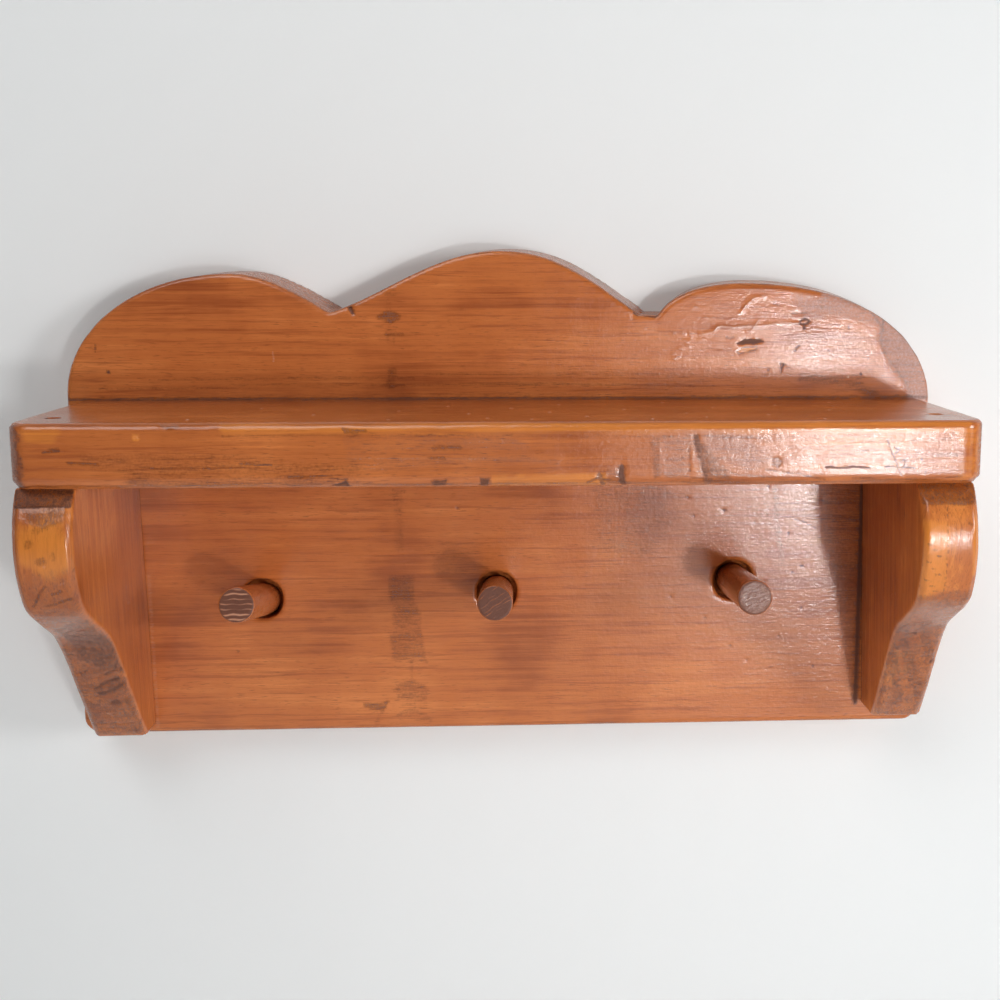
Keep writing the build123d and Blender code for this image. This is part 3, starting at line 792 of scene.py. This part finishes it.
RIGHT_BRACKET_MARKS_AND_SHADE = [
    # Painted shade: the dark band across the bracket's top, just under the shelf.
    patch((134, -21), (156, -21), (156, -27.4), (134, -27.4), soft=0.7, dark=0.6, grey=0.2),
    patch((137, -34), (143, -35), (142.5, -56), (137, -58), soft=3.5, amber=1),
    patch((152.5, -32), (155, -32), (155, -52), (152.8, -50), soft=2.2, amber=0.7),
    *[
        line((143.4 + 0.05 * step, -28.5 - 2.3 * step), (143.5 + 0.05 * step, -29.4 - 2.3 * step),
             width=0.35, dark=0.5)
        for step in range(16)
    ],
    line((150.4, -33.6), (152.1, -33.8), width=0.4, dark=0.45),
    *[
        line((137.2 + 1.7 * (step % 3), -40 - 2.1 * step), (138.4 + 1.7 * (step % 3), -40.2 - 2.1 * step),
             width=0.35, dark=0.5)
        for step in range(9)
    ],
    patch((135, -60), (156, -57), (156, -76), (135, -79), soft=2.5, grey=0.8),
    line((139.3, -75), (141.8, -84), (148.6, -99), (152.8, -108), width=2.2, soft=2.6, dark=0.55, grey=0.6),
    line((145, -74), (150, -84), (154, -92), width=2.2, soft=2.4, dark=0.5, grey=0.6),
    line((138.5, -89), (142, -100), (145.5, -111), width=2, soft=2.6, dark=0.55, grey=0.6),
    patch((139.5, -87.5), (145, -88), (146.5, -96), (142, -100), (139, -96), soft=1.5, amber=0.5),
    line((137.2, -87.8), (140.6, -87.5), width=0.5, depth=0.2, pale=0.4),
    line((149.4, -101.6), (151.8, -101.3), width=0.5, depth=0.2, pale=0.35),
    line((140.3, -113.2), (141.6, -113.8), width=0.5, depth=0.2, pale=0.4),
    spot(146.5, -107.5, 2, 1.6, soft=1, dark=0.45),
    spot(141.2, -116.8, 2.6, 1.4, soft=1, dark=0.45),
]

PEG_RIM = (5.0, 6.0)
PEG_LOOKS = {
    "left": dict(
        seed=61, saw_angle=0, saw_length=6.0, saw_pitch=0.85, streaks=(0.0, 0.55),
        pale=0.85, gritty=0.05, grey=0.2, tip_dark=1.0, shank_dark_and_shade=0.0,
    ),
    "middle": dict(
        seed=62, saw_angle=33, saw_length=3.5, saw_pitch=0.5, streaks=(0.25, 0.8),
        pale=0.4, gritty=0.05, grey=0.5, tip_dark=0.95, shank_dark_and_shade=0.5,
    ),
    "right": dict(
        seed=63, saw_angle=20, saw_length=1.2, saw_pitch=0.6, streaks=(0.4, 1.6),
        pale=0.2, gritty=0.6, grey=0.9, tip_dark=0.62, shank_dark_and_shade=0.5,
    ),
}

# Lengths are in mm. Each facing or range goes from nothing at its low end to all at its high end.
# What is rough has a depth and a period.
WAVE_PERIOD, RIPPLE_PERIOD = 18, 5
WAVE_SHARE, RIPPLE_SHARE = 0.5, 0.3
WEAR_DEPTH = 0.18
FLATNESS = (0.72, 0.985)
EDGE_DEPTH, EDGE_UNEVEN, EDGE_RIPPLE = 0.1, 0.35, 0.15
EDGE_DARK, EDGE_DARK_PERIOD = 0.55, 9
END_FACING, END_GRAIN_AND_RIM_SHEEN_GREY, END_DARK = (0.5, 0.9), 0.8, 0.3
SHADED_UNDERSIDE_FACING = (0.1, 0.6)

BOARD_VOXEL, BOARD_MARGIN, PRESSED_MARGIN = 1.25, 1.1, 0.6
BOARD_EDGE_SPREAD = 0.25
BOARD_ROUGH = (0.12, 1.6)

SHELF_VOXEL, SHELF_MARGINS, TOP_MARGINS = 1.1, (1.0, 0.6), (1.6, 0.8)
SHELF_EDGE_SPREAD = 0.3
SHELF_ROUGH = (0.2, 1.3)

BRACKET_VOXEL, BRACKET_MARGIN = 0.8, 0.8
SAWN_FACING, SAWN_BELOW = (0.3, 0.6), (48, 72)
PIT_PERIOD, PIT_RANGE, PIT_DEPTH = (2.4, 1.2, 0.7), (0.3, 0.8), 0.14
RIDGE_PERIOD, RIDGE_DEPTH = (9, 0.8, 0.8), 0.07
MOTTLE_PERIOD = (4.5, 3, 2.5)
SAWN_GREY, MOTTLE_GREY = 0.15, 0.75
SAWN_DARK, PIT_DARK, RIDGE_DARK = 0.3, 0.4, 0.25

PEG_VOXEL, TIP_FACING = 0.4, (0.8, 0.95)
SAW_SWAY, SAW_SWAY_RATE = 0.12, 1.3
SAW_DRIFT, SAW_DRIFT_PERIOD = 1.8, (5, 2, 1)
SAW_RIPPLE, SAW_NOISE = 0.55, 0.45
GRIT_PERIOD = (0.5, 0.5, 1)
PEG_WEAR, SAW_DEPTH, GRIT_DEPTH, RIM_DEPTH = 0.04, 0.035, 0.015, 0.1
STREAK_CLEARS, RIM_DARK = 0.6, 0.3
# The shanks' painted shade: darker on the upper, leftward side.
SHADED_TOP_LEAN, SHADED_TOP_RANGE = 0.5, (-0.4, 0.9)
SHANK_DARK, SHANK_TOP_SHADE = 0.35, 0.65
CLOUD_PERIOD, CLOUD_DARK = (5, 14, 5), 0.6


def even_noise(places, period, seed):
    """Smooth noise from 0 to 1."""
    return 0.5 + 0.5 * noise(places, period, seed)


def worn_faces(surface, seed):
    """Planed and sanded by hand: slow waves, and edges rounded a little unevenly."""
    slow = even_noise(surface.start, WAVE_PERIOD, seed)
    quick = even_noise(surface.start, RIPPLE_PERIOD, seed + 1)
    flat = np.max(np.abs(surface.normals), axis=1)
    edge = 1 - smooth_step(flat, *FLATNESS)
    rounding = EDGE_DEPTH + EDGE_UNEVEN * slow * quick + EDGE_RIPPLE * quick
    surface.press(WEAR_DEPTH * (WAVE_SHARE * slow + RIPPLE_SHARE * quick) + edge * rounding)
    return edge


def roughen(surface, depth, period, seed):
    """Presses an uneven relief into what is painted rough."""
    surface.press(surface.paint["rough"] * depth * (1 + noise(surface.start, period, seed)))


def finish_piece(piece, surface, node, material):
    """Stores the piece's surface and hangs the piece on the frame in the place of its CAD node."""
    surface.store()
    dress(piece.data, material)
    piece.data.shade_smooth()
    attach(piece, BODY)
    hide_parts(node)


def make_board(material):
    """The back board, with its split notch, cross-grain chain, dents and rough right end; also painted
    shadows of the shelf, the right bracket and the pegs, painted shade along its joints, painted sheen on its
    upward rim and painted highlights on raised ridges.
    """
    piece = even_copy("back_board", BOARD_VOXEL)
    pressed = [mark for mark in BOARD_MARKS_AND_PAINTED_LIGHT if mark["depth"]]
    refine(piece, near_marks(BOARD_MARKS_AND_PAINTED_LIGHT, XZ, FRONT, BOARD_MARGIN))
    refine(piece, near_marks(pressed, XZ, FRONT, PRESSED_MARGIN))
    surface = Surface(piece)
    edge = worn_faces(surface, 11)
    spread = BOARD_EDGE_SPREAD * noise(surface.start, EDGE_DARK_PERIOD, 21)
    surface.colour("dark", edge * (EDGE_DARK + spread))
    # Painted sheen: the board's upward-facing rim is tinted grey-mauve, as it looks in its grazing
    # reflection.
    surface.colour("grey", END_GRAIN_AND_RIM_SHEEN_GREY * smooth_step(surface.normals[:, 2], *END_FACING))
    surface.mark(BOARD_MARKS_AND_PAINTED_LIGHT, XZ, FRONT)
    roughen(surface, *BOARD_ROUGH, 31)
    finish_piece(piece, surface, "back_board", material)


def make_shelf(material):
    """The shelf board, with knots and chips along its front and dust on its top, and painted shade on its
    lower edges.
    """
    piece = even_copy("shelf_board", SHELF_VOXEL)
    top_marks = DUST + NAIL_STAINS
    for margin in SHELF_MARGINS:
        refine(piece, near_marks(SHELF_MARKS, XZ, FRONT, margin))
    for margin in TOP_MARGINS:
        refine(piece, near_marks(top_marks, XY, UP, margin))
    surface = Surface(piece)
    edge = worn_faces(surface, 12)
    # Painted shade: the shelf's lower edges are darkened where they face down, under the shelf.
    under = smooth_step(-surface.normals[:, 2], *SHADED_UNDERSIDE_FACING)
    spread = SHELF_EDGE_SPREAD * noise(surface.start, EDGE_DARK_PERIOD, 22)
    surface.colour("dark", edge * under * (EDGE_DARK + spread))
    surface.mark(SHELF_MARKS, XZ, FRONT)
    surface.mark(top_marks, XY, UP)
    ends = smooth_step(np.abs(surface.normals[:, 0]), *END_FACING)
    surface.colour("grey", END_GRAIN_AND_RIM_SHEEN_GREY * ends)
    surface.colour("dark", END_DARK * ends)
    roughen(surface, *SHELF_ROUGH, 32)
    finish_piece(piece, surface, "shelf_board", material)


def make_bracket(side, marks, seed, material):
    """A side bracket: sawn front edge with open end grain, smooth cheeks, and painted shade on its top under
    the shelf.
    """
    node = side + "_bracket"
    piece = even_copy(node, BRACKET_VOXEL)
    refine(piece, near_marks(marks, XZ, FRONT, BRACKET_MARGIN))
    surface = Surface(piece)
    worn_faces(surface, seed)
    facing = smooth_step(-surface.normals[:, 1], *SAWN_FACING)
    sawn = facing * smooth_step(-surface.start[:, 2], *SAWN_BELOW)
    pits = smooth_step(noise(surface.start, PIT_PERIOD, seed + 2), *PIT_RANGE)
    ridges = noise(surface.start, RIDGE_PERIOD, seed + 5)
    mottle = even_noise(surface.start, MOTTLE_PERIOD, seed + 3)
    surface.press(sawn * (PIT_DEPTH * pits + RIDGE_DEPTH * (1 + ridges)))
    surface.colour("grey", sawn * (SAWN_GREY + MOTTLE_GREY * mottle))
    torn = PIT_DARK * pits * mottle + RIDGE_DARK * np.maximum(ridges, 0)
    surface.colour("dark", sawn * (SAWN_DARK + torn))
    surface.mark(marks, XZ, FRONT)
    finish_piece(piece, surface, node, material)


def make_peg(
    side, material, seed, saw_angle, saw_length, saw_pitch, streaks, pale, gritty, grey, tip_dark, shank_dark_and_shade
):
    """A dowel peg with a sawn tip: its own saw marks, staining and grain, and painted shade on the upper side
    of its shank.
    """
    node = side + "_peg"
    piece = even_copy(node, PEG_VOXEL)
    refine(piece, lambda places, normals: -normals[:, 1] > TIP_FACING[0])
    surface = Surface(piece)
    start = surface.start
    tip = smooth_step(-surface.normals[:, 1], *TIP_FACING)
    middle = start[tip > 0.5].mean(axis=0)
    across, up = (start - middle)[:, 0], (start - middle)[:, 2]
    rim = smooth_step(np.hypot(across, up), *PEG_RIM)
    turn = math.radians(saw_angle)
    along = across * math.cos(turn) + up * math.sin(turn)
    over = up * math.cos(turn) - across * math.sin(turn)
    flat = np.stack([along, over + SAW_SWAY * np.sin(along * SAW_SWAY_RATE), 0 * along], axis=1)
    drift = SAW_DRIFT * noise(flat, SAW_DRIFT_PERIOD, seed + 2)
    ripple = np.sin(flat[:, 1] * math.pi / saw_pitch + drift)
    saw = SAW_RIPPLE * ripple + SAW_NOISE * noise(flat, (saw_length, saw_pitch, 1), seed)
    grit = noise(flat, GRIT_PERIOD, seed + 5)
    cuts = SAW_DEPTH * (1 - saw) + GRIT_DEPTH * (1 - grit)
    surface.press(PEG_WEAR + tip * cuts + tip * rim * RIM_DEPTH)
    streak = smooth_step(saw, *streaks)
    surface.colour("pale", tip * (1 - rim) * (pale * streak + gritty * np.maximum(grit, 0)))
    surface.colour("grey", tip * grey)
    surface.colour("dark", tip * (tip_dark * (1 - STREAK_CLEARS * streak) + RIM_DARK * rim))
    # Painted shade: the shank is darker on its upper, leftward side; SHANK_DARK with the cloud noise is the
    # shank's own darker tone.
    top = smooth_step(surface.normals[:, 2] - SHADED_TOP_LEAN * surface.normals[:, 0], *SHADED_TOP_RANGE)
    cloud = CLOUD_DARK + CLOUD_DARK * even_noise(start, CLOUD_PERIOD, seed + 9)
    surface.colour("dark", (1 - tip) * shank_dark_and_shade * (SHANK_DARK + SHANK_TOP_SHADE * top) * cloud)
    finish_piece(piece, surface, node, material)


# ---------------- materials

# BURNT is the dark brown of stains, dashes and specks, and also of painted shade and shadows.
BURNT = (0.075, 0.018, 0.007, 1)
# MAUVE is the grey-mauve of stains and end grain, and also of the painted sheen on the board's rim.
MAUVE = (0.21, 0.074, 0.047, 1)
AMBER = (0.80, 0.27, 0.042, 1)
# PALE is the colour of dust, nicks and saw streaks, and also of painted highlights on raised ridges.
PALE = (0.80, 0.50, 0.36, 1)
WORN = (0.68, 0.49, 0.46, 1)
VARNISH = {"IOR": 1.55, "Specular IOR Level": 0.55}
WOOD_BUMP = (0.4, 0.0003)
METAL_BUMP = (0.2, 0.0001)

# The noises in the wood: periods in mm along and across the grain, detail, roughness and warp.
WOOD_NOISES = {
    "streak": (70, 1.8, 4, 0.6, 0.3),
    "broad": (150, 13, 2, 0.5, 0),
    "ring": (42, 1.15, 4, 0.65, 0.5),
    "fibre": (7, 0.35, 2, 0.5, 0),
    "blotch": (30, 30, 3, 0.5, 0),
    "speck": (0.9, 0.9, 2, 0.6, 0),
    "dash": (4.5, 0.5, 2, 0.6, 0),
    "peel": (1.6, 1.6, 3, 0.6, 0),
    "brush": (0.9, 16, 3, 0.6, 0.4),
}


def varnished_pine(name, grain, dark, mid, light, ragged=1.0):
    """Stained and varnished pine whose grain runs along one axis, with what is painted on its mesh: stains
    and wear, and also painted shade, sheen and highlights.
    """
    material, g = new_material(name)
    place = g.place()
    noises = {}
    for layer, (along, across, detail, roughness, warp) in WOOD_NOISES.items():
        period = tuple(along if axis == grain else across for axis in "XYZ")
        noises[layer] = g.noise(place, period, detail, roughness, warp)
    streak, broad, ring, fibre, blotch, speck, dash, peel, brush = noises.values()

    def around(value, strength):
        """The noise about zero, this strong."""
        return g.times(g.math("SUBTRACT", value, 0.5), strength)

    def torn(paint, tear, low, high):
        """What is painted, with its edges broken up by noise."""
        painted = g.painted(paint)
        edge = g.ramp(painted, 0, 0.35)
        return g.ramp(g.total(painted, g.times(tear, edge)), low, high)

    tone = g.total(g.times(streak, 0.33), g.times(broad, 0.3), g.times(blotch, 0.37))
    colour = g.mix(g.ramp(tone, 0.36, 0.5, 0.3, 1), dark, mid)
    colour = g.mix(g.ramp(tone, 0.5, 0.64), colour, light)
    colour = g.mix(g.ramp(ring, 0.54, 0.66, 0, 0.5), colour, dark)
    colour = g.mix(g.ramp(fibre, 0.52, 0.75, 0, 0.35), colour, dark)
    worn = g.ramp(g.total(broad, g.times(blotch, 0.6)), 0.7, 0.95)
    dashes = g.total(0.14, g.times(worn, 0.25), g.times(g.painted("grey"), 0.6))
    colour = g.mix(g.times(g.ramp(dash, 0.58, 0.72), dashes), colour, BURNT)
    colour = g.mix(g.ramp(speck, 0.68, 0.8, 0, 0.35), colour, BURNT)

    rays = g.total(around(streak, 1.6 * ragged), around(ring, 0.9 * ragged))
    grit = g.total(around(speck, 0.6 * ragged), around(dash, 0.8 * ragged))
    amber = torn("amber", rays, 0.1, 1.0)
    grey = torn("grey", g.total(rays, grit), 0.1, 1.15)
    # The 'dark' paint holds real stains and also painted shade and painted shadows.
    stain_and_shade = torn("dark", g.total(grit, g.times(rays, 0.4)), 0.05, 1.0)
    pale = torn("pale", grit, 0.1, 1.2)
    colour = g.mix(g.times(amber, 0.6), colour, AMBER)
    colour = g.mix(g.times(grey, 0.6), colour, MAUVE)
    colour = g.mix(g.times(stain_and_shade, 0.85), colour, BURNT)
    colour = g.mix(g.times(pale, 0.6), colour, PALE)
    rough = g.painted("rough")
    colour = g.mix(g.times(rough, g.ramp(speck, 0.3, 0.8, 0.25, 0.6)), colour, WORN)

    gloss = g.total(
        g.ramp(blotch, 0.3, 0.7, 0.17, 0.23), around(peel, 0.14), g.times(grey, 0.08), g.times(rough, 0.15),
        g.ramp(stain_and_shade, 0.5, 0.95, 0.0, 0.36),
    )
    relief = g.total(
        g.times(fibre, 0.3), g.times(ring, 0.25), g.times(dash, 0.3), g.times(peel, 0.5),
        g.times(brush, 0.12), g.times(speck, g.total(g.times(grey, 0.12), g.times(rough, 1.4))),
    )
    wood = {"Base Color": colour, "Roughness": gloss, "Normal": g.bump(relief, *WOOD_BUMP)}
    g.finish(g.add("ShaderNodeBsdfPrincipled", {**wood, **VARNISH}))
    return material


def metal(name, colour, roughness, tarnish):
    """Plain steel with a little tarnish and fine scratches."""
    material, g = new_material(name)
    place = g.place()
    cloud = g.noise(place, (3, 3, 3), 3, 0.6)
    scratch = g.noise(place, (0.15, 4, 4), 2, 0.5)
    tint = g.mix(g.ramp(cloud, 0.4, 0.7), colour, tarnish)
    rough = g.total(roughness, g.times(scratch, 0.2))
    finish = {"Base Color": tint, "Metallic": 1.0, "Roughness": rough, "Normal": g.bump(scratch, *METAL_BUMP)}
    g.finish(g.add("ShaderNodeBsdfPrincipled", finish))
    return material


def dress_metal():
    """Gives the nails, screws and hanger plates their metal. They keep their CAD shapes."""
    finishes = {
        "shelf_nails": metal("nail_iron", (0.06, 0.045, 0.04, 1), 0.5, (0.03, 0.015, 0.01, 1)),
        "screws": metal("screw_zinc", (0.5, 0.43, 0.28, 1), 0.28, (0.36, 0.27, 0.14, 1)),
        "plate": metal("plate_zinc", (0.55, 0.55, 0.56, 1), 0.3, (0.38, 0.38, 0.4, 1)),
    }
    for name, node in NODES.items():
        for part, material in finishes.items():
            if part in name:
                dress(node.data, material)


make_camera()
make_stage()
make_lamps()
make_room()

PINE_DARK = (0.30, 0.066, 0.018, 1)
PEG_DARK = (0.26, 0.066, 0.022, 1)
BOARD_TONES = (PINE_DARK, (0.59, 0.170, 0.042, 1), (0.72, 0.232, 0.062, 1))
SHELF_TONES = (PINE_DARK, (0.51, 0.140, 0.033, 1), (0.68, 0.205, 0.050, 1))
BRACKET_TONES = (PINE_DARK, (0.53, 0.148, 0.031, 1), (0.70, 0.225, 0.050, 1))
PEG_TONES = (PEG_DARK, (0.48, 0.135, 0.036, 1), (0.60, 0.18, 0.048, 1))
board_pine = varnished_pine("board_pine", "X", *BOARD_TONES)
shelf_pine = varnished_pine("shelf_pine", "X", *SHELF_TONES)
bracket_pine = varnished_pine("bracket_pine", "Z", *BRACKET_TONES)
peg_wood = varnished_pine("peg_wood", "Y", *PEG_TONES, ragged=0.2)

make_board(board_pine)
make_shelf(shelf_pine)
make_bracket("left", LEFT_BRACKET_MARKS_AND_SHADE, 41, bracket_pine)
make_bracket("right", RIGHT_BRACKET_MARKS_AND_SHADE, 51, bracket_pine)
for peg_side, peg_look in PEG_LOOKS.items():
    make_peg(peg_side, peg_wood, **peg_look)
dress_metal()
